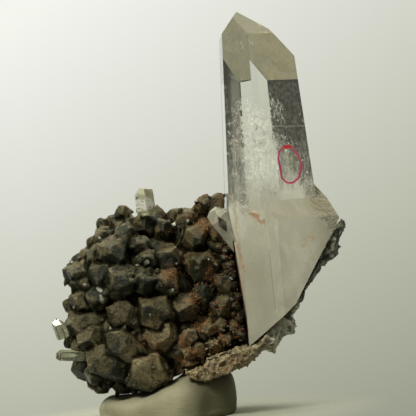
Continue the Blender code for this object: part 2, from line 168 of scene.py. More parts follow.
# How many small things there are: grains and crystals before those near the solids' box are left out
RUST_GRAINS = 8500
PALE_GRAINS = 900
ROCK_POINTS = 700
LOW_CRUST_POINTS = 500
DARK_POINTS = 150
SEAM_THINGS = 760
VEIL_FLAKES = 330

# Radius of the floor's pale patch, and how far from its middle it has faded out and is still whole
FLOOR_RADIUS = 64.0
FLOOR_FADE = (58.0, 17.0)


# Shader helpers


class Field:
    """A number that varies over a surface: the output socket of a shader node, with arithmetic."""

    def __init__(self, tree, out):
        self.tree, self.out = tree, out

    def calc(self, operation, *others, clamp=False):
        made = self.tree.nodes.new("ShaderNodeMath")
        made.operation = operation
        made.use_clamp = clamp
        for socket, value in zip(made.inputs, (self, *others)):
            wire(self.tree, socket, value)
        return Field(self.tree, made.outputs[0])

    def __add__(self, other):
        return self.calc("ADD", other)

    def __sub__(self, other):
        return self.calc("SUBTRACT", other)

    def __mul__(self, other):
        return self.calc("MULTIPLY", other)

    def __truediv__(self, other):
        return self.calc("DIVIDE", other)

    def most(self, other):
        return self.calc("MAXIMUM", other)

    def least(self, other):
        return self.calc("MINIMUM", other)

    def flip(self):
        return self * -1.0 + 1.0

    def span(self, low, high, first=0.0, last=1.0):
        """Goes smoothly from first to last while the number goes from low to high."""
        made = self.tree.nodes.new("ShaderNodeMapRange")
        made.interpolation_type = "SMOOTHSTEP"
        for name, value in (
            ("Value", self),
            ("From Min", low),
            ("From Max", high),
            ("To Min", first),
            ("To Max", last),
        ):
            wire(self.tree, made.inputs[name], value)
        return Field(self.tree, made.outputs[0])


def wire(tree, socket, value):
    if isinstance(value, Field):
        tree.links.new(value.out, socket)
    elif isinstance(value, bpy.types.NodeSocket):
        tree.links.new(value, socket)
    elif isinstance(value, tuple) and len(value) == 3 and socket.type == "RGBA":
        socket.default_value = (*value, 1.0)
    else:
        socket.default_value = value


def blend(tree, share, first, second):
    """A colour between two."""
    made = tree.nodes.new("ShaderNodeMix")
    made.data_type = "RGBA"
    wire(tree, made.inputs[0], share)
    wire(tree, made.inputs[6], first)
    wire(tree, made.inputs[7], second)
    return made.outputs[2]


def places(tree):
    """The place on the object as a vector socket, and its x, y and z in millimetres."""
    coordinates = tree.nodes.new("ShaderNodeTexCoord")
    split = tree.nodes.new("ShaderNodeSeparateXYZ")
    tree.links.new(coordinates.outputs["Object"], split.inputs[0])
    fields = [Field(tree, out) * MM_PER_M for out in split.outputs]
    return coordinates.outputs["Object"], fields


def stretched(tree, vector, scale):
    made = tree.nodes.new("ShaderNodeMapping")
    tree.links.new(vector, made.inputs["Vector"])
    made.inputs["Scale"].default_value = scale
    return made.outputs[0]


def cloud(tree, vector, size_mm, detail=3.0, rough=0.55, warp=0.0):
    """Noise with features of about size_mm, from 0 to 1."""
    made = tree.nodes.new("ShaderNodeTexNoise")
    tree.links.new(vector, made.inputs["Vector"])
    made.inputs["Scale"].default_value = MM_PER_M / size_mm
    made.inputs["Detail"].default_value = detail
    made.inputs["Roughness"].default_value = rough
    made.inputs["Distortion"].default_value = warp
    return Field(tree, made.outputs[0])


def cells(tree, vector, size_mm):
    """Distance from the nearest of scattered points that are about size_mm apart."""
    made = tree.nodes.new("ShaderNodeTexVoronoi")
    tree.links.new(vector, made.inputs["Vector"])
    made.inputs["Scale"].default_value = MM_PER_M / size_mm
    return Field(tree, made.outputs["Distance"])


def bumped(tree, height, depth_mm, below=None):
    made = tree.nodes.new("ShaderNodeBump")
    made.inputs["Distance"].default_value = depth_mm * MM
    made.inputs["Strength"].default_value = 1.0
    wire(tree, made.inputs["Height"], height)
    if below:
        tree.links.new(below, made.inputs["Normal"])
    return made.outputs[0]


def stored(tree, name):
    made = tree.nodes.new("ShaderNodeAttribute")
    made.attribute_name = name
    return Field(tree, made.outputs["Fac"])


def outward(tree):
    """Right, away and up parts of the outward direction, also where a face is seen from within."""
    geometry = tree.nodes.new("ShaderNodeNewGeometry")
    split = tree.nodes.new("ShaderNodeSeparateXYZ")
    tree.links.new(geometry.outputs["Normal"], split.inputs[0])
    sign = Field(tree, geometry.outputs["Backfacing"]) * -2.0 + 1.0
    return [Field(tree, out) * sign for out in split.outputs]


def facing_front(tree):
    """1 on faces turned to the viewer of the photographed front, 0 on the others."""
    return outward(tree)[1].span(-0.35, -0.55)


def end_faces(tree, z):
    """1 on the tip's faces, how far a face is turned to the back, and 1 on the ledge of the lower part."""
    _, away, up = outward(tree)
    sloping = up.span(0.3, 0.5)
    return sloping * z.span(*TIP_ABOVE), away.span(-0.2, 0.2), sloping * z.span(*LEDGE_BELOW)


def tip_film(x, z):
    """1 where the tip's end faces are seen in the front view, through the faces in front of them."""
    left, right = [
        ((z - (x * slope + height)).least(z - level) * 4.0).span(-0.5, 0.5)
        for slope, height, level in TIP_EDGES
    ]
    on_right = x.span(*TIP_RIDGE)
    return (left * on_right.flip()).most(right * on_right)


def left_side(tree):
    """1 on faces turned to the left, where the crystal stands against the cluster."""
    return outward(tree)[0].span(-0.80, -0.92)


def seen_from_outside(tree):
    """1 where a face is seen from outside the crystal, 0 where it is seen from within."""
    geometry = tree.nodes.new("ShaderNodeNewGeometry")
    return Field(tree, geometry.outputs["Backfacing"]).flip()


def leaned(tree, share, toward, start=None):
    """The surface's outward direction, turned by a share towards another one."""
    if start is None:
        start = tree.nodes.new("ShaderNodeNewGeometry").outputs["Normal"]
    made = tree.nodes.new("ShaderNodeMix")
    made.data_type = "VECTOR"
    wire(tree, made.inputs[0], share)
    tree.links.new(start, made.inputs[4])
    made.inputs[5].default_value = toward
    unit = tree.nodes.new("ShaderNodeVectorMath")
    unit.operation = "NORMALIZE"
    tree.links.new(made.outputs[1], unit.inputs[0])
    return unit.outputs[0]


def line_distance(x, z, points):
    """Distance in millimetres from a run of straight lines in the front view."""
    nearest = None
    for (x0, z0), (x1, z1) in zip(points, points[1:]):
        across, up = x1 - x0, z1 - z0
        from_x, from_z = x - x0, z - z0
        along = from_x * (across / (across**2 + up**2)) + from_z * (up / (across**2 + up**2))
        share = along.calc("ADD", 0.0, clamp=True)
        off_x, off_z = from_x - share * across, from_z - share * up
        distance = (off_x * off_x + off_z * off_z).calc("SQRT")
        nearest = distance if nearest is None else nearest.least(distance)
    return nearest


def off_middle(x, z, middle, reach, unevenness):
    """Grows from 0 at a patch's middle to 1 at its reach in the front view, made uneven by noise."""
    off_x, off_z = (x - middle[0]) / reach[0], (z - middle[1]) / reach[1]
    return off_x * off_x + off_z * off_z + unevenness


def new_material(name):
    material = bpy.data.materials.new(name)
    material.use_nodes = True
    tree = material.node_tree
    shader = tree.nodes["Principled BSDF"]
    shader.inputs["IOR"].default_value = QUARTZ_IOR
    return material, tree, shader


def pen_ink(tree, place, x, z, front):
    """How much the pen has inked a place on the front, and how much of that is the blob at the ring's top."""
    wobble = cloud(tree, place, 2.2, 1.0) - 0.5
    off_line = line_distance(x + wobble * 0.9, z + wobble * 0.7, PEN_RING)
    line = off_line.span(RING_LINE + 0.10, RING_LINE - 0.08) * front
    blob = line_distance(x, z, RING_BLOB).span(0.60, 0.35) * front
    return line.most(blob), blob


def rust_marks(tree, place, x, z, front):
    """How much rust lies on a place on the front, and 1 near the spotted rust, which is lighter."""
    streak = line_distance(x, z, ARCH_RUST).span(0.95, 0.25)
    streak = streak.most(line_distance(x, z, LEFT_RUST).span(0.55, 0.10))
    spots = line_distance(x, z, SPOTTED_RUST).span(1.6, 0.3)
    edge_stain = line_distance(x, z, EDGE_STAIN).span(0.7, 0.1)
    broken = cloud(tree, place, 1.1, 3.0, 0.7).span(0.43, 0.54)
    dotted = cloud(tree, place, 0.8, 2.0, 0.6).span(0.54, 0.64)
    rust = ((streak.most(edge_stain * 0.6) * broken).most(spots * dotted) * front).least(0.85)
    return rust, spots


def main_crystal_material():
    material, tree, shader = new_material("main_quartz")
    place, (x, _, z) = places(tree)
    front, outside = facing_front(tree), seen_from_outside(tree)
    tip, rear, ledge = end_faces(tree, z)
    to_right = outward(tree)[0].span(-0.1, 0.1)
    wisps = cloud(tree, stretched(tree, place, (1.0, 1.0, 0.6)), 5.0, 4.0, 0.6, 0.6)
    fine = cloud(tree, place, 0.9, 4.0, 0.6)

    # Milk fills the foot. It reaches highest in the middle, where streaks run through its upper part.
    at_left, at_right = x.span(25.5, 23.5), x.span(31.0, 33.0)
    beside = at_left.most(at_right)
    level = z + (wisps - 0.5) * 13.0 + at_left * 7.0 + at_right * 2.0
    streaks = cloud(tree, stretched(tree, place, (1.8, 1.8, 0.45)), 1.3, 4.0, 0.65, 1.2)
    streaky = z.span(70.0, 62.0) * z.span(50.0, 56.0) * beside.span(0.0, 1.0, 1.0, 0.25)
    milk = level.span(61.5, 49.0).most(ledge)
    milk = milk * wisps.span(0.30, 0.65, 0.86, 1.0)
    milk = milk * (streaky * streaks.span(0.56, 0.44) * 0.5).flip()

    # Above it are flecks, frost on the end faces, a film before them, a veil up the left side and dust
    smears = cloud(tree, stretched(tree, place, (1.3, 1.3, 0.6)), 2.0, 4.0, 0.65, 0.5)
    flecks = (smears + z.span(80.0, 64.0, -0.06, 0.0)).span(0.68, 0.73)
    frost = tip * fine.span(0.35, 0.7, 0.84, 1.0) * rear.span(0.0, 1.0, 0.34, 0.05)
    film = tip_film(x, z) * front * fine.span(0.30, 0.7, 0.90, 1.0)
    frost = frost.most(film * to_right.span(0.0, 1.0, 0.62, 0.78))
    from_left = x + (z - 82.0) * -0.04
    veil = from_left.span(20.9, 22.3) * from_left.span(24.4, 23.5) * z.span(60.0, 64.0) * z.span(86.0, 80.0)
    veil = veil * front
    dust = x.span(30.4, 31.4).most(x.span(21.2, 20.4)) * z.span(81.2, 80.4) * front * fine.span(0.36, 0.72)
    haze = milk.most(flecks * 0.6 * z.span(84.0, 78.0)).most(frost).most(veil * 0.34).most(dust * 0.22)

    # Marks on the surface
    ink, blob = pen_ink(tree, place, x, z, front)
    ink = ink * outside
    rust, spots = rust_marks(tree, place, x, z, front)
    arch = line_distance(x, z, ARCH_RIDGE).span(0.55, 0.1) * front
    crack = line_distance(x, z, LONG_CRACK).span(0.35, 0.08) * front
    scratch = line_distance(x, z, LEVEL_SCRATCH).span(0.22, 0.06) * front
    pitted = cloud(tree, place, 1.4, 4.0, 0.7).span(0.40, 0.58)
    scar = line_distance(x, z, SHOULDER_SCAR).span(3.2, 0.9) * pitted
    gilt = film * cloud(tree, place, 1.1, 4.0, 0.7).span(0.52, 0.64) * x.span(25.0, 34.0)
    buried = left_side(tree) * z.span(52.0, 48.0)

    # Colour of what isn't clear, then of the whole surface
    body = blend(tree, wisps.span(0.35, 0.7), *MILK_TONES)
    low_left = z.span(48.0, 34.0) * x.span(33.0, 25.0)
    right_side = x.span(37.0, 43.0) * z.span(36.0, 44.0)
    body = blend(tree, low_left.most(right_side) * 0.8, body, SHADED_MILK)
    soft = cloud(tree, stretched(tree, place, (1.0, 1.0, 0.7)), 8.0, 4.0, 0.6, 0.8)
    body = blend(tree, soft.span(0.42, 0.66) * 0.55, body, CLOUDY_MILK)
    # Painted light: the film and its gilt are lighter on faces turned to the right, which the key light
    # reaches less
    body = blend(tree, film, body, blend(tree, to_right, *FILM_AND_PAINTED_LIGHT_TONES))
    body = blend(tree, tip, body, REAR_FROST)
    # Painted shade: the up-facing ledge is darkened against the light it gets from above
    body = blend(tree, ledge * 0.8, body, LEDGE_PAINTED_SHADE)
    body = blend(tree, veil, body, blend(tree, z.span(73.0, 79.0), *VEIL_TONES))
    tint = blend(tree, haze.most(film), CLEAR_TONE, body)
    tint = blend(tree, gilt * 0.8, tint, blend(tree, to_right, *GILT_AND_PAINTED_LIGHT_TONES))
    clouded = film * cloud(tree, place, 3.5, 4.0, 0.65).span(0.40, 0.65)
    tint = blend(tree, clouded * 0.25, tint, CLOUDY_FILM)
    tint = blend(tree, scar * 0.65, tint, SCAR_TONE)
    tint = blend(tree, arch * 0.25, tint, RIDGE_TONE)
    tint = blend(tree, rust, tint, blend(tree, spots, *RUST_TONES))
    tint = blend(tree, ink * 0.95, tint, blend(tree, blob, *INK_TONES))
    # The left side faces, up to 48 to 52 mm, are dark brown, rough and opaque where they meet the cluster
    tint = blend(tree, buried, tint, blend(tree, fine.span(0.4, 0.6), *LEFT_SIDE_DARK_TONES))
    wire(tree, shader.inputs["Base Color"], tint)

    # How much light passes, and how rough the surface is
    solid = (haze * 0.86).most(rust).most(ink).most(scar * 0.7).most(gilt * 0.35)
    solid = (solid * outside.span(0.0, 1.0, 0.12, 1.0)).most(buried)
    wire(tree, shader.inputs["Transmission Weight"], solid.flip())
    rough = milk.span(0.0, 1.0, 0.0, 0.24).most(rust * 0.6).most(ledge * 0.85).most(buried)
    rough = rough.most(outside.flip() * milk * 0.3)
    wire(tree, shader.inputs["Roughness"], rough)

    # Chips, level growth lines and pits, then the shading direction
    chips = cloud(tree, stretched(tree, place, (1.0, 1.0, 0.9)), 1.5, 3.0, 0.6, 1.2)
    middle = x.span(22.5, 25.0) * x.span(33.0, 30.5)
    chip_zone = z.span(79.0, 74.0) * z.span(54.0, 61.0) * middle
    chipped = chips.span(0.52, 0.59) * chip_zone * cloud(tree, place, 7.0, 1.0).span(0.42, 0.58)
    level_lines = cloud(tree, stretched(tree, place, (0.12, 0.12, 1.6)), 1.2, 3.0, 0.6)
    height = (chipped * 0.85 + streaks * streaky * 1.4) * front.span(0.0, 1.0, 0.2, 1.0)
    height = height + level_lines * z.span(84.0, 78.0) * 0.05 + arch * 0.15 - crack * 0.5 - scratch * 0.4
    height = height + fine * milk * 0.35 + scar * 1.2
    steeper = leaned(tree, tip * rear * outside.flip() * 0.08, (0.0, 0.0, -1.0))
    evened = milk * front.most(ledge) * 0.94 * outside
    even = leaned(tree, evened, SOFT_LEAN, steeper)
    wire(tree, shader.inputs["Normal"], bumped(tree, height, 0.16, even))
    return material


def small_quartz_material(name, least_milk, most_milk, clear_tint, milk_tint, window=False, gleam=None):
    """Partly milky quartz, with painted shade as a dark window on its front or a painted reflection on a
    line.
    """
    material, tree, shader = new_material(name)
    place, (x, _, z) = places(tree)
    wisps = cloud(tree, place, 3.0, 3.0, 0.55, 0.4)
    milk = wisps.span(0.38, 0.66, least_milk, most_milk)
    tint = blend(tree, milk, clear_tint, milk_tint)
    if window:
        off_x, off_z = x - WINDOW_MIDDLE[0], z - WINDOW_MIDDLE[1]
        offsets = (off_x, off_z + off_x * WINDOW_SHEAR)
        across, up = [
            off.calc("ABSOLUTE").span(half, half - WINDOW_SOFT)
            for off, half in zip(offsets, WINDOW_HALF)
        ]
        # Painted shade: the window is darkened, standing in for the dark seen through the clear crystal
        shade = blend(tree, wisps.span(0.45, 0.55), (0.08, 0.08, 0.06), (0.20, 0.20, 0.15))
        tint = blend(tree, across * up * facing_front(tree), tint, shade)
    # Painted reflection: a pale gleam along a line, where the crystal is also made less clear
    if gleam:
        torn = cloud(tree, stretched(tree, place, (0.5, 0.5, 2.0)), 1.0, 3.0, 0.6).span(0.34, 0.46)
        pale = line_distance(x, z, gleam).span(1.75, 1.35) * facing_front(tree) * torn
        tint = blend(tree, pale, tint, (0.93, 0.93, 0.88))
        milk = milk.most(pale * 0.9)
    wire(tree, shader.inputs["Base Color"], tint)
    wire(tree, shader.inputs["Transmission Weight"], milk.flip())
    wire(tree, shader.inputs["Roughness"], milk.span(0.0, 1.0, 0.02, 0.25))
    lines = cloud(tree, stretched(tree, place, (0.3, 0.3, 1.5)), 1.2, 2.0)
    wire(tree, shader.inputs["Normal"], bumped(tree, lines, 0.02))
    return material


def cluster_material():
    material, tree, shader = new_material("dark_crystals")
    place, (x, _, z) = places(tree)
    edge, stone = stored(tree, "edge"), stored(tree, "stone")
    up = outward(tree)[2]
    broad = cloud(tree, place, 9.0, 2.0)
    coat = cloud(tree, place, 3.6, 3.0, 0.5, 0.8)
    patchy = cloud(tree, place, 2.0, 6.0, 0.78, 0.6)
    grain = cloud(tree, place, 0.5, 3.0, 0.7)
    ripples = cloud(tree, stretched(tree, place, (0.5, 0.5, 2.0)), 0.9, 4.0, 0.7, 2.0)
    crevice = edge.span(0.05, -0.5)

    # Dark green crystals, lighter in patches, on some stones and on faces turned up
    deep = blend(tree, patchy.span(0.38, 0.64), (0.008, 0.012, 0.006), (0.043, 0.054, 0.034))
    light = blend(tree, patchy.span(0.35, 0.66), (0.055, 0.048, 0.022), (0.20, 0.172, 0.090))
    lightened = (coat + up * 0.16 + stone * 0.30).span(0.56, 0.72)
    dark = blend(tree, lightened, deep, light)

    # Rust: more of it towards the right, in crevices, in the crusty patch and in the rust patches
    warm = (x + z * 0.2 + (broad - 0.5) * 34.0).span(2.0, 26.0)
    crusty = off_middle(x, z, *CRUSTY_PATCH, (coat - 0.5) * 3.0).span(1.25, 0.75)
    rusty = (warm * coat.span(0.50, 0.60) * 0.9).most(crevice * warm.span(0.1, 0.7) * 0.6)
    rusty = rusty.most(crusty * 0.8)
    for at_x, at_z, radius in RUST_PATCHES:
        patch = off_middle(x, z, (at_x, at_z), (radius, radius), (coat - 0.5) * 4.0).span(1.4, 0.4)
        rusty = rusty.most(patch)
    rusty = rusty.most(warm.span(0.0, 0.5) * patchy.span(0.52, 0.62) * 0.5) * grain.span(0.42, 0.56)
    tanned = off_middle(x, z, *TAN_PATCH, (broad - 0.5) * 2.0).span(1.3, 0.5)
    dark = blend(tree, tanned * patchy.span(0.34, 0.52) * 0.85, dark, (0.40, 0.33, 0.19))
    rust = blend(tree, grain.span(0.42, 0.66), (0.040, 0.021, 0.009), (0.27, 0.14, 0.052))
    tint = blend(tree, rusty * 0.75, dark, rust)
    crust = blend(tree, grain.span(0.38, 0.62), (0.040, 0.030, 0.014), (0.30, 0.235, 0.12))
    tint = blend(tree, crusty * grain.span(0.44, 0.56) * 0.55, tint, crust)

    # Painted highlights on the edges, dark ripples, painted shade in the crevices, and painted glints on
    # small facets
    # Painted highlights: convex edges lightened
    pale = edge.span(0.25, 0.9) * patchy.span(0.40, 0.55)
    tint = blend(tree, pale * 0.45, tint, (0.33, 0.30, 0.19))
    tint = blend(tree, ripples.span(0.52, 0.40) * 0.55, tint, (0.010, 0.011, 0.006))
    # Painted shade: the crevices darkened almost to black
    tint = blend(tree, crevice * 0.88, tint, (0.006, 0.005, 0.0025))
    # Painted highlights: pale glints along the listed lines on front faces
    glint = None
    for line in GLINTS:
        near = line_distance(x, z, line)
        glint = near if glint is None else glint.least(near)
    glint = (glint + (coat - 0.5) * 1.6).span(0.50, 0.20) * facing_front(tree)
    tint = blend(tree, glint * 0.8, tint, (0.55, 0.55, 0.49))
    wire(tree, shader.inputs["Base Color"], tint)
    wire(tree, shader.inputs["Roughness"], patchy.span(0.3, 0.7, 0.20, 0.50) + rusty * 0.3)
    wire(tree, shader.inputs["Specular IOR Level"], edge.span(-0.45, 0.1, 0.04, 0.30))
    pits = cells(tree, place, 0.9).span(0.0, 0.5)
    lines = cloud(tree, stretched(tree, place, (0.6, 0.6, 2.2)), 1.6, 4.0, 0.6, 1.5)
    height = patchy * 0.8 + pits * 0.30 + grain * 0.40 + lines * 0.5 + ripples * 0.6
    wire(tree, shader.inputs["Normal"], bumped(tree, height, 0.32))
    return material


def rock_material():
    material, tree, shader = new_material("host_rock_skin")
    place, (x, _, _) = places(tree)
    edge = stored(tree, "edge")
    broad = cloud(tree, place, 5.0, 3.0, 0.6)
    fine = cloud(tree, place, 1.0, 5.0, 0.7)
    grain = cloud(tree, place, 0.4, 2.0)
    strip = blend(tree, fine.span(0.38, 0.64), (0.040, 0.046, 0.028), (0.34, 0.37, 0.28))
    lobe = blend(tree, fine.span(0.35, 0.7), (0.50, 0.51, 0.385), (0.88, 0.88, 0.72))
    crust = blend(tree, fine.span(0.35, 0.65), (0.16, 0.115, 0.055), (0.52, 0.44, 0.27))
    along = x + (broad - 0.5) * 5.0
    tint = blend(tree, along.span(35.5, 32.5), strip, lobe)
    tint = blend(tree, along.span(27.5, 24.0), tint, crust)
    warm = broad.span(0.5, 0.66) * grain.span(0.45, 0.62) * x.span(30.0, 22.0, 0.15, 0.8)
    tint = blend(tree, warm, tint, (0.23, 0.105, 0.038))
    # Painted highlights: convex edges lightened
    tint = blend(tree, edge.span(0.2, 0.8) * 0.40, tint, (0.50, 0.50, 0.39))
    # Painted shade: the crevices darkened almost to black
    tint = blend(tree, edge.span(-0.1, -0.7) * 0.7, tint, (0.02, 0.016, 0.010))
    wire(tree, shader.inputs["Base Color"], tint)
    shader.inputs["Roughness"].default_value = 0.62
    wire(tree, shader.inputs["Normal"], bumped(tree, fine + grain * 0.4, 0.40))
    return material


def putty_material():
    material, tree, shader = new_material("putty_skin")
    place, (x, _, z) = places(tree)
    broad = cloud(tree, place, 7.0, 3.0)
    fine = cloud(tree, place, 0.6, 4.0, 0.6)
    prints = cloud(tree, stretched(tree, place, (0.35, 0.35, 2.4)), 1.1, 2.0, 0.5, 0.4)
    tint = blend(tree, broad.span(0.35, 0.65), (0.32, 0.31, 0.215), (0.41, 0.395, 0.28))
    tint = blend(tree, fine.span(0.62, 0.75) * 0.5, tint, (0.22, 0.20, 0.14))
    smudge = broad.span(0.5, 0.7) * fine.span(0.5, 0.65) * z.span(4.0, 9.0)
    tint = blend(tree, smudge * 0.5, tint, (0.16, 0.12, 0.07))
    # Painted shadow: the putty's right part darker, where the rock and the crystals above it shade it
    painted_shadow = (x + (broad - 0.5) * 9.0).span(2.5, 10.0)
    tint = blend(tree, painted_shadow * 0.85, tint, (0.085, 0.085, 0.045))
    wire(tree, shader.inputs["Base Color"], tint)
    shader.inputs["Roughness"].default_value = 0.78
    shader.inputs["Specular IOR Level"].default_value = 0.3
    wire(tree, shader.inputs["Normal"], bumped(tree, prints * 0.5 + fine * 0.35, 0.22))
    return material


def grain_material(name, low, high, roughness):
    material, tree, shader = new_material(name)
    place, _ = places(tree)
    fine = cloud(tree, place, 0.8, 3.0, 0.6)
    wire(tree, shader.inputs["Base Color"], blend(tree, fine.span(0.35, 0.65), low, high))
    shader.inputs["Roughness"].default_value = roughness
    wire(tree, shader.inputs["Normal"], bumped(tree, fine, 0.08))
    return material


def veil_material():
    material, tree, shader = new_material("inner_veils")
    place, _ = places(tree)
    fine = cloud(tree, place, 0.5, 2.0)
    wire(tree, shader.inputs["Base Color"], blend(tree, fine, (0.80, 0.80, 0.72), (0.97, 0.97, 0.92)))
    shader.inputs["Roughness"].default_value = 0.25
    shader.inputs["Transmission Weight"].default_value = 0.35
    return material


# Mesh helpers


def welded(node):
    """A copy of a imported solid's mesh with its corners joined, as a bmesh."""
    bm = bmesh.new()
    bm.from_mesh(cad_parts[node].data)
    bmesh.ops.remove_doubles(bm, verts=bm.verts, dist=1e-6)
    bmesh.ops.recalc_face_normals(bm, faces=bm.faces)
    return bm


def piece(name, bm_or_mesh, material, replaced=None, smooth=False):
    """A finished piece that rides on the one body."""
    if isinstance(bm_or_mesh, bmesh.types.BMesh):
        mesh = bpy.data.meshes.new(name)
        bm_or_mesh.to_mesh(mesh)
        bm_or_mesh.free()
    else:
        mesh = bm_or_mesh
    mesh.materials.clear()
    mesh.materials.append(material)
    if smooth:
        mesh.shade_smooth()
    else:
        mesh.shade_flat()
    made = bpy.data.objects.new(name, mesh)
    bpy.context.scene.collection.objects.link(made)
    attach(made, "root")
    if replaced:
        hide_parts(replaced)
    return made


def remeshed(node, face_mm):
    """The solid as an even mesh of small faces."""
    mesh = bpy.data.meshes.new("work")
    bm = welded(node)
    bm.to_mesh(mesh)
    bm.free()
    work = bpy.data.objects.new("work", mesh)
    bpy.context.scene.collection.objects.link(work)
    modifier = work.modifiers.new("even", "REMESH")
    modifier.mode = "VOXEL"
    modifier.voxel_size = face_mm * MM
    bpy.context.view_layer.update()
    graph = bpy.context.evaluated_depsgraph_get()
    made = bpy.data.meshes.new_from_object(work.evaluated_get(graph))
    bpy.data.objects.remove(work, do_unlink=True)
    return made


def corner_arrays(mesh):
    """The corners' places, their normals, and both corners of every edge."""
    count = len(mesh.vertices)
    corners, normals = np.empty(count * 3), np.empty(count * 3)
    mesh.vertices.foreach_get("co", corners)
    mesh.vertices.foreach_get("normal", normals)
    ends = np.empty(len(mesh.edges) * 2, dtype=int)
    mesh.edges.foreach_get("vertices", ends)
    return corners.reshape(-1, 3), normals.reshape(-1, 3), ends.reshape(-1, 2)


def neighbour_mean(values, ends):
    """For every corner, the mean of the values of the corners it is joined to."""
    total = np.zeros_like(values)
    number = np.zeros(len(values))
    for a, b in ((0, 1), (1, 0)):
        np.add.at(total, ends[:, a], values[ends[:, b]])
        np.add.at(number, ends[:, a], 1)
    shape = (-1, 1) if values.ndim > 1 else (-1,)
    return total / np.maximum(number, 1).reshape(shape)


def store_edges(mesh, face_mm):
    """Stores how far each corner stands out of its surroundings, above 0 on edges and below 0 in crevices."""
    co, normal, ends = corner_arrays(mesh)
    around = co
    for _ in range(3):
        around = neighbour_mean(around, ends)
    out = np.einsum("ij,ij->i", co - around, normal) / (face_mm * MM)
    for _ in range(2):
        out = 0.5 * out + 0.5 * neighbour_mean(out, ends)
    attribute = mesh.attributes.new("edge", "FLOAT", "POINT")
    attribute.data.foreach_set("value", (out * 2.6).astype(np.float32))


def roughened(mesh, waves):
    """Moves the corners in along their normals by noise: waves are (size, depth) in millimetres."""
    co, normal, _ = corner_arrays(mesh)
    moved = np.zeros(len(co))
    for size, depth in waves:
        scale = 1.0 / (size * MM)
        moved += [depth * MM * (noise.noise(Vector(c) * scale) - 0.6) for c in co]
    mesh.vertices.foreach_set("co", (co + normal * moved[:, None]).ravel())
    mesh.update()


def store_stone_tones(mesh):
    """Gives every crystal-sized patch a tone of its own, from 0 to 1."""
    co, _, _ = corner_arrays(mesh)
    tones = np.empty(len(co), dtype=np.float32)
    for number, corner in enumerate(co):
        spot = noise.voronoi(Vector(corner) / (6.5 * MM))[1][0]
        tones[number] = noise.cell(spot * 7.3 + Vector((3.1, 5.7, 1.3)))
    attribute = mesh.attributes.new("stone", "FLOAT", "POINT")
    attribute.data.foreach_set("value", np.clip(tones * 0.5 + 0.5, 0, 1))


def picked_spots(mesh, count, rng, weight):
    """Places and outward directions picked at random on a mesh, likelier where weight is high."""
    number = len(mesh.polygons)
    middles, normals, areas = np.empty(number * 3), np.empty(number * 3), np.empty(number)
    mesh.polygons.foreach_get("center", middles)
    mesh.polygons.foreach_get("normal", normals)
    mesh.polygons.foreach_get("area", areas)
    middles, normals = middles.reshape(-1, 3), normals.reshape(-1, 3)
    chance = areas * np.maximum(weight(middles / MM, normals), 0)
    chosen = rng.choice(number, size=count, p=chance / chance.sum())
    return [(Vector(middles[i]), Vector(normals[i])) for i in chosen]


def grain_shape():
    """Corners and faces of a ball of twenty faces."""
    bm = bmesh.new()
    bmesh.ops.create_icosphere(bm, subdivisions=1, radius=1.0)
    corners = [corner.co.copy() for corner in bm.verts]
    faces = [[corner.index for corner in face.verts] for face in bm.faces]
    bm.free()
    return corners, faces


def grains_mesh(name, spots, sizes, rng):
    """Irregular grains half sunk into a surface, in one mesh."""
    corners, faces = [], []
    shape, sides = grain_shape()
    for (spot, away), size in zip(spots, sizes):
        turn = away.to_track_quat("Z", "Y").to_matrix()
        wide = Vector((rng.uniform(0.7, 1.3), rng.uniform(0.7, 1.3), rng.uniform(0.45, 0.9)))
        start = len(corners)
        for corner in shape:
            wobble = rng.uniform(0.75, 1.2)
            local = Vector(c * w for c, w in zip(corner, wide)) * (wobble * size * MM / 2)
            corners.append(spot + turn @ local)
        faces += [[start + i for i in side] for side in sides]
    mesh = bpy.data.meshes.new(name)
    mesh.from_pydata(corners, [], faces)
    return mesh


def points_mesh(name, spots, sizes, rng, spread, tall):
    """Small six-sided crystals standing out of a surface, in one mesh."""
    corners, faces = [], []
    for (spot, away), size in zip(spots, sizes):
        sway = Vector(rng.uniform(-spread, spread) for _ in range(3))
        lean = (away + sway).normalized()
        turn = lean.to_track_quat("Z", "Y").to_matrix()
        half, twist = size * MM / 2, rng.uniform(0, math.pi)
        shoulder = half * rng.uniform(0.5, 1.4) * tall
        start = len(corners)
        for height in (-half, shoulder):
            for side in range(6):
                angle = side * math.pi / 3 + twist
                reach = half * rng.uniform(0.85, 1.1) if height > 0 else half
                local = Vector((math.cos(angle) * reach, math.sin(angle) * reach, height))
                corners.append(spot + turn @ local)
        off_x, off_y = half * rng.uniform(-0.2, 0.2), half * rng.uniform(-0.2, 0.2)
        corners.append(spot + turn @ Vector((off_x, off_y, shoulder + half * 1.2)))
        for side in range(6):
            after = (side + 1) % 6
            faces.append([start + side, start + after, start + 6 + after, start + 6 + side])
            faces.append([start + 6 + side, start + 6 + after, start + 12])
        faces.append([start + side for side in reversed(range(6))])
    mesh = bpy.data.meshes.new(name)
    mesh.from_pydata(corners, [], faces)
    return mesh


# Pieces


def make_main_crystal():
    solid = welded("main_crystal")
    piece("main_crystal_faces", solid, main_crystal_material(), "main_crystal")


def make_small_crystals():
    windowed = small_quartz_material(
        "windowed_quartz", 0.40, 0.70, (0.88, 0.87, 0.75), (0.50, 0.48, 0.38), window=True
    )
    olive = small_quartz_material(
        "olive_quartz", 0.10, 0.45, (0.74, 0.74, 0.54), (0.36, 0.35, 0.22), gleam=TOP_PAINTED_REFLECTION
    )
    grey = small_quartz_material("grey_quartz", 0.05, 0.45, (0.55, 0.56, 0.42), (0.13, 0.13, 0.085))
    for node, material in (
        ("side_crystal", windowed),
        ("top_crystal", olive),
        ("rim_crystal_upper", grey),
        ("rim_crystal_lower", grey),
    ):
        piece(node + "_faces", welded(node), material, node)


def make_cluster():
    mesh = remeshed("dark_cluster", CLUSTER_FACES)
    roughened(mesh, ((3.0, 0.10), (1.1, 0.06)))
    store_edges(mesh, CLUSTER_FACES)
    store_stone_tones(mesh)
    return piece("dark_cluster_skin", mesh, cluster_material(), "dark_cluster", smooth=True)


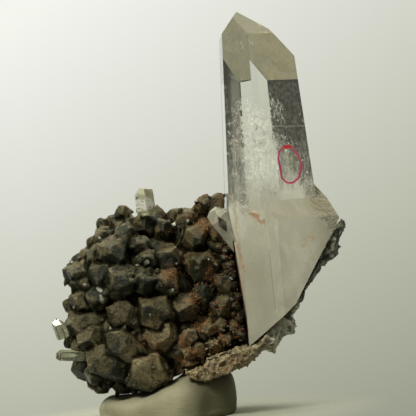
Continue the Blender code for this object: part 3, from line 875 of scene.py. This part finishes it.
def make_rock():
    mesh = remeshed("host_rock", ROCK_FACES)
    roughened(mesh, ((2.4, 0.5), (0.9, 0.35)))
    store_edges(mesh, ROCK_FACES)
    return piece("host_rock_skin", mesh, rock_material(), "host_rock", smooth=True)


def make_putty():
    """The putty, smoothed and dented everywhere but at its flat underside."""
    mesh = remeshed("putty", PUTTY_FACES)
    co, normal, ends = corner_arrays(mesh)
    smooth = co
    for _ in range(4):
        smooth = neighbour_mean(smooth, ends)
    above = np.clip((co[:, 2] / MM - 0.6) / 1.2, 0, 1)[:, None]
    dents = np.array([noise.noise(Vector(c) / (5.5 * MM)) - 0.5 for c in co])[:, None]
    co = co + (smooth - co) * above + normal * dents * above * 0.5 * MM
    co[:, 2] = np.maximum(co[:, 2], 0.0)
    mesh.vertices.foreach_set("co", co.ravel())
    mesh.update()
    piece("putty_skin", mesh, putty_material(), "putty", smooth=True)


def inside_box(spots, low, high, margin):
    """Keeps the spots that stay a margin inside the solids' box."""
    kept = []
    for spot, away in spots:
        if all(a + margin * MM < c < b - margin * MM for a, c, b in zip(low, spot, high)):
            kept.append((spot, away))
    return kept


def strewn(name, spots, rng, size_range, tones, roughness, stance=None):
    """One piece of grains or, with a stance of spread and height, of small crystals on the spots."""
    sizes = [rng.uniform(*size_range) for _ in spots]
    if stance:
        mesh = points_mesh(name, spots, sizes, rng, *stance)
    else:
        mesh = grains_mesh(name, spots, sizes, rng)
    piece(name, mesh, grain_material(name, *tones, roughness))


# Chances of a grain or small crystal at places in millimetres with outward directions


def rusty_chance(at, normal):
    """Likelier towards the right and low down there, in drifts, and in the rust patches."""
    x, z = at[:, 0], at[:, 2]
    warm = np.clip((x + 4) / 24, 0, 1) ** 1.5
    low_right = np.exp(-((x - 12) ** 2 + (z - 18) ** 2) / 90)
    drifts = np.array([noise.noise(Vector(a) / 4.0) for a in at])
    chance = (0.01 + warm + 2.5 * low_right) * np.clip((drifts - 0.04) / 0.22, 0, 1) ** 2
    for at_x, at_z, radius in RUST_PATCHES:
        off = ((x - at_x) ** 2 + (z - at_z) ** 2) / radius**2
        chance += 2.2 * np.exp(-off * 1.5) * (normal[:, 1] < 0.2) * np.clip((drifts + 0.2) / 0.3, 0, 1)
    return chance


def even_chance(at, _normal):
    return np.ones(len(at))


def crust_chance(at, normal):
    """On the rock's left part, mostly on its front."""
    return np.clip((27 - at[:, 0]) / 5, 0, 1) * np.clip(-normal[:, 1] + 0.6, 0.1, 1)


def low_crust_chance(at, _normal):
    """On the cluster above the rock's crust."""
    return np.exp(-(((at[:, 0] - 14) / 7) ** 2 + ((at[:, 2] - 16) / 6) ** 2) * 1.5)


def make_grains(cluster, rock, low, high):
    """Rust and pale grains, the crust's small crystals and the dark ones between the large crystals."""
    rng, picker = random.Random(SEED), np.random.default_rng(SEED)

    def spots_on(host, count, chance, margin):
        return inside_box(picked_spots(host.data, count, picker, chance), low, high, margin)

    spots = spots_on(cluster, RUST_GRAINS, rusty_chance, 0.6)
    tones = ((0.080, 0.036, 0.013), (0.36, 0.175, 0.060))
    strewn("rust_grains", spots, rng, (0.16, 0.46), tones, 0.7)

    spots = spots_on(cluster, PALE_GRAINS, even_chance, 0.6)
    tones = ((0.035, 0.033, 0.018), (0.20, 0.18, 0.105))
    strewn("pale_grains", spots, rng, (0.15, 0.42), tones, 0.45)

    spots = spots_on(rock, ROCK_POINTS, crust_chance, 0.8)
    spots += spots_on(cluster, LOW_CRUST_POINTS, low_crust_chance, 0.8)
    tones = ((0.14, 0.088, 0.036), (0.44, 0.36, 0.21))
    strewn("crust_points", spots, rng, (0.22, 0.62), tones, 0.5, (0.8, 0.6))

    spots = spots_on(cluster, DARK_POINTS, even_chance, 1.6)
    tones = ((0.015, 0.016, 0.009), (0.10, 0.095, 0.055))
    strewn("dark_points", spots, rng, (0.9, 1.9), tones, 0.28, (0.7, 0.8))


def make_contact_crust():
    """Stubby crystals and rust grains that fill the seam between the cluster and the tall crystal."""
    rng = random.Random(SEED + 5)
    stones, grains = [], []
    for number in range(SEAM_THINGS):
        z = rng.uniform(19.0, 46.5)
        side = SIDE_X + (SIDE_Z - z) * SIDE_LEAN
        spot = Vector((side - rng.uniform(0.45, 2.4), rng.uniform(-7.0, 3.0), z)) * MM
        away = Vector((rng.uniform(-0.5, 0.3), -1.0, rng.uniform(-0.3, 0.5))).normalized()
        (stones if number % 3 == 0 else grains).append((spot, away))
    tones = ((0.014, 0.013, 0.007), (0.085, 0.062, 0.030))
    strewn("seam_points", stones, rng, (1.2, 2.3), tones, 0.45, (0.6, 0.4))
    tones = ((0.050, 0.022, 0.008), (0.24, 0.10, 0.032))
    strewn("seam_grains", grains, rng, (0.3, 0.9), tones, 0.7)


def make_veils():
    """Small pale flakes inside the main crystal, thickest above its milky part."""
    rng = random.Random(SEED + 3)
    solid = welded("main_crystal")
    tree = BVHTree.FromBMesh(solid)
    solid.free()
    sides = 6
    corners, faces = [], []
    while len(faces) < VEIL_FLAKES:
        z = 50 + 24 * rng.random() ** 1.7
        spot = Vector((rng.uniform(21, 40), rng.uniform(-9.5, 6.5), z)) * MM
        near, away, _, _ = tree.find_nearest(spot)
        if (spot - near).dot(away) > -0.9 * MM:
            continue
        size = rng.uniform(0.15, 0.75) * MM
        long_way = Vector(rng.uniform(-1, 1) for _ in range(3)).normalized()
        short_way = long_way.orthogonal().normalized() * rng.uniform(0.15, 0.5)
        start = len(corners)
        for side in range(sides):
            angle = side * math.tau / sides
            reach = size * rng.uniform(0.6, 1.2)
            corners.append(spot + (long_way * math.cos(angle) + short_way * math.sin(angle)) * reach)
        faces.append([start + side for side in range(sides)])
    mesh = bpy.data.meshes.new("inner_veils")
    mesh.from_pydata(corners, [], faces)
    piece("inner_veils", mesh, veil_material())


# Stage


def make_camera():
    camera = bpy.data.cameras.new("camera")
    camera.angle = 2 * math.atan(HALF_PICTURE / CAMERA_AWAY)
    made = bpy.data.objects.new("camera", camera)
    place = Vector((AIM[0], AIM[1] - CAMERA_AWAY, AIM[2])) * MM
    level = Matrix.Rotation(math.radians(90), 4, "X")
    roll = Matrix.Rotation(math.radians(CAMERA_ROLL), 4, "Z")
    made.matrix_world = Matrix.Translation(place) @ level @ roll
    bpy.context.scene.collection.objects.link(made)
    bpy.context.scene.camera = made


def make_light(name, place, size, power, colour):
    lamp = bpy.data.lights.new(name, "AREA")
    lamp.shape = "DISK"
    lamp.size = size * MM
    lamp.energy = power
    lamp.color = colour
    made = bpy.data.objects.new(name, lamp)
    made.location = Vector(place) * MM
    aim = Vector(AIM) * MM - made.location
    made.rotation_euler = aim.to_track_quat("-Z", "Y").to_euler()
    bpy.context.scene.collection.objects.link(made)


def make_world():
    """A backdrop for the camera, and a dimmer room that lights the specimen, most of all from behind."""
    world = bpy.data.worlds.new("studio")
    bpy.context.scene.world = world
    world.use_nodes = True
    tree = world.node_tree
    background = tree.nodes["Background"]
    coordinates = tree.nodes.new("ShaderNodeTexCoord")
    split = tree.nodes.new("ShaderNodeSeparateXYZ")
    tree.links.new(coordinates.outputs["Generated"], split.inputs[0])
    x, y, z = [Field(tree, out) for out in split.outputs]

    # The backdrop is brighter towards the top and the left
    rise = (z * 1.75 + 0.645).least(0.90).most(0.40)
    slide = (x * -1.2 + 0.95).least(1.08).most(0.80)
    backdrop = (rise * slide).least(0.92)
    tint = blend(tree, backdrop.span(0.35, 0.85), (0.97, 1.0, 0.785), (0.99, 1.0, 0.93))

    # The room is brightest behind the specimen, dimmer above, and dimmest below and at the viewer's side
    behind = y.span(0.35, 0.80)
    viewer = y.span(-0.60, -0.95)
    above = z.span(0.25, 0.85)
    below = z.span(-0.45, -0.90)
    room = (behind * 0.86).most(viewer * 0.14).most(above * 0.50).most(below * 0.16).most(0.06)

    # The camera sees the backdrop, and so does light that goes almost straight on through the specimen
    path = tree.nodes.new("ShaderNodeLightPath")
    seen = Field(tree, path.outputs["Is Camera Ray"])
    straight = y.span(0.93, 0.99)
    share = seen.most(straight)
    strength = backdrop * share + room * share.flip()
    tint = blend(tree, share, (0.99, 0.985, 0.80), tint)
    wire(tree, background.inputs["Color"], tint)
    wire(tree, background.inputs["Strength"], strength)


def make_floor():
    """A small pale patch under the putty that fades out into the backdrop."""
    bm = bmesh.new()
    bmesh.ops.create_circle(bm, cap_ends=True, segments=64, radius=FLOOR_RADIUS * MM)
    mesh = bpy.data.meshes.new("floor")
    bm.to_mesh(mesh)
    bm.free()
    floor = bpy.data.objects.new("floor", mesh)
    floor.location = (0, 0, -0.0001)
    bpy.context.scene.collection.objects.link(floor)
    material, tree, shader = new_material("floor")
    place, (x, y, _) = places(tree)
    fine = cloud(tree, place, 3.0, 3.0)
    wire(tree, shader.inputs["Base Color"], blend(tree, fine, (0.44, 0.45, 0.37), (0.46, 0.47, 0.39)))
    shader.inputs["Roughness"].default_value = 0.9
    far = (x * x + y * y * 1.6).calc("SQRT")
    wire(tree, shader.inputs["Alpha"], far.span(*FLOOR_FADE))
    mesh.materials.append(material)


def as_lists(corners):
    return [[float(number) for number in corner] for corner in corners]


bpy.context.scene.view_settings.view_transform = "Standard"
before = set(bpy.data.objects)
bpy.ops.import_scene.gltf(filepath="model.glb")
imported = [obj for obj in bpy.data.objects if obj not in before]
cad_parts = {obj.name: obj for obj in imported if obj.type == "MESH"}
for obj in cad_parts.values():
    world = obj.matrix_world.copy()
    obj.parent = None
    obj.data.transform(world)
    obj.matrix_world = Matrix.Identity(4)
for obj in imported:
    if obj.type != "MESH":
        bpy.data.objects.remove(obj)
solids_box = as_lists(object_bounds())
make_camera()
make_world()
make_floor()
make_light("key", (-200, -300, 400), 180, 1.9, (1.0, 0.96, 0.80))
make_light("top", (60, 40, 420), 240, 1.0, (1.0, 0.98, 0.86))
make_main_crystal()
make_small_crystals()
cluster_piece = make_cluster()
rock_piece = make_rock()
make_putty()
make_grains(cluster_piece, rock_piece, *solids_box)
make_contact_crust()
make_veils()
